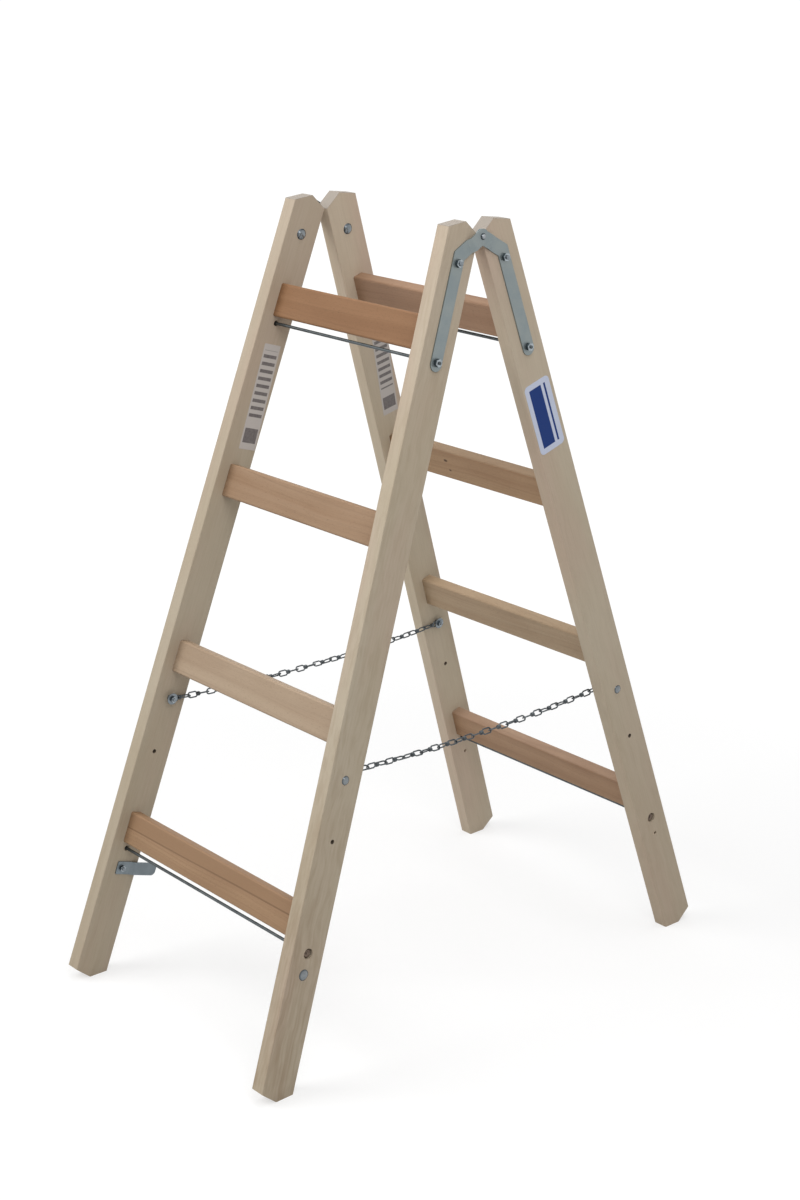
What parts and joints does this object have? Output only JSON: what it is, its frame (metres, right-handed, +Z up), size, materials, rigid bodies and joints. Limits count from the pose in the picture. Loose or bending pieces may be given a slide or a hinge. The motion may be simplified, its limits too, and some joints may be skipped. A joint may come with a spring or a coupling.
{
  "type": "trestle ladder",
  "caption": "Double-sided wooden trestle ladder: two splayed leaves with flat rungs, hinged by steel bars at the top and held open by side chains.",
  "frame": {"origin": "on the floor, midway between the four feet", "axes": "+X along the rungs, +Y from the front leaf to the back leaf, +Z up"},
  "size_m": [0.478, 0.8626, 1.1446],
  "materials": {
    "softwood": "planed, clear",
    "hardwood": "planed, clear",
    "zinc": "zinc plated",
    "chain_wire": "zinc plated, dull"
  },
  "bodies": {
    "front_leaf": {"front_left_stile": "softwood", "front_right_stile": "softwood", "front_bottom_rung": "hardwood", "front_lower_rung": "hardwood", "front_upper_rung": "hardwood", "front_top_rung": "hardwood", "front_bottom_tie_rod": "zinc", "front_top_tie_rod": "zinc", "front_bottom_rod_nuts": "zinc", "front_top_rod_nuts": "zinc", "front_left_hinge_bar": "zinc", "front_right_hinge_bar": "zinc", "front_hinge_bolts": "zinc", "front_hinge_nuts": "zinc", "hinge_rivets": "zinc", "front_chain_bolts": "zinc", "front_chain_lock_nuts": "zinc", "front_chain_washers": "zinc", "front_chain_nuts": "zinc", "hook_bolts": "zinc", "hook_nuts": "zinc"},
    "back_leaf": {"back_left_stile": "softwood", "back_right_stile": "softwood", "back_bottom_rung": "hardwood", "back_lower_rung": "hardwood", "back_upper_rung": "hardwood", "back_top_rung": "hardwood", "back_bottom_tie_rod": "zinc", "back_top_tie_rod": "zinc", "back_bottom_rod_nuts": "zinc", "back_top_rod_nuts": "zinc", "back_left_hinge_bar": "zinc", "back_right_hinge_bar": "zinc", "back_hinge_bolts": "zinc", "back_hinge_nuts": "zinc", "back_chain_bolts": "zinc", "back_chain_lock_nuts": "zinc", "back_chain_washers": "zinc", "back_chain_nuts": "zinc"},
    "left_chain_front": {"left_chain_front_run": "chain_wire"},
    "left_chain_back": {"left_chain_back_run": "chain_wire"},
    "right_chain_front": {"right_chain_front_run": "chain_wire"},
    "right_chain_back": {"right_chain_back_run": "chain_wire"},
    "left_hook": {"left_transport_hook": "zinc"},
    "right_hook": {"right_transport_hook": "zinc"}
  },
  "joints": [
    {"name": "fold", "type": "hinge", "parent": "front_leaf", "child": "back_leaf", "pos_m": [0, 0, 1.12309], "axis": [1, 0, 0], "range_deg": [-37, 0], "deforming": ["left_chain_front_run", "left_chain_back_run", "right_chain_front_run", "right_chain_back_run"]},
    {"name": "left_chain_front_swing", "type": "hinge", "parent": "front_leaf", "child": "left_chain_front", "pos_m": [-0.18577, -0.26615, 0.42378], "axis": [0.9985, -0.0176, -0.0526], "range_deg": [-99.33, 0]},
    {"name": "left_chain_back_swing", "type": "hinge", "parent": "back_leaf", "child": "left_chain_back", "pos_m": [-0.18577, 0.26615, 0.42378], "axis": [0.9985, 0.0176, -0.0526], "range_deg": [0, 99.33]},
    {"name": "right_chain_front_swing", "type": "hinge", "parent": "front_leaf", "child": "right_chain_front", "pos_m": [0.18577, -0.26615, 0.42378], "axis": [0.9985, 0.0176, 0.0526], "range_deg": [-99.33, 0]},
    {"name": "right_chain_back_swing", "type": "hinge", "parent": "back_leaf", "child": "right_chain_back", "pos_m": [0.18577, 0.26615, 0.42378], "axis": [0.9985, -0.0176, 0.0526], "range_deg": [0, 99.33]},
    {"name": "left_hook_turn", "type": "hinge", "parent": "front_leaf", "child": "left_hook", "pos_m": [-0.20505, -0.35177, 0.16788], "axis": [0.9985, -0.0176, -0.0526], "range_deg": [-90, 0]},
    {"name": "right_hook_turn", "type": "hinge", "parent": "front_leaf", "child": "right_hook", "pos_m": [0.20505, -0.35177, 0.16788], "axis": [0.9985, 0.0176, 0.0526], "range_deg": [0, 90]}
  ],
  "couplings": [
    {"joint": "left_chain_front_swing", "follows": "fold", "ratio": 2.6843},
    {"joint": "left_chain_back_swing", "follows": "fold", "ratio": -2.6843},
    {"joint": "right_chain_front_swing", "follows": "fold", "ratio": 2.6843},
    {"joint": "right_chain_back_swing", "follows": "fold", "ratio": -2.6843}
  ]
}
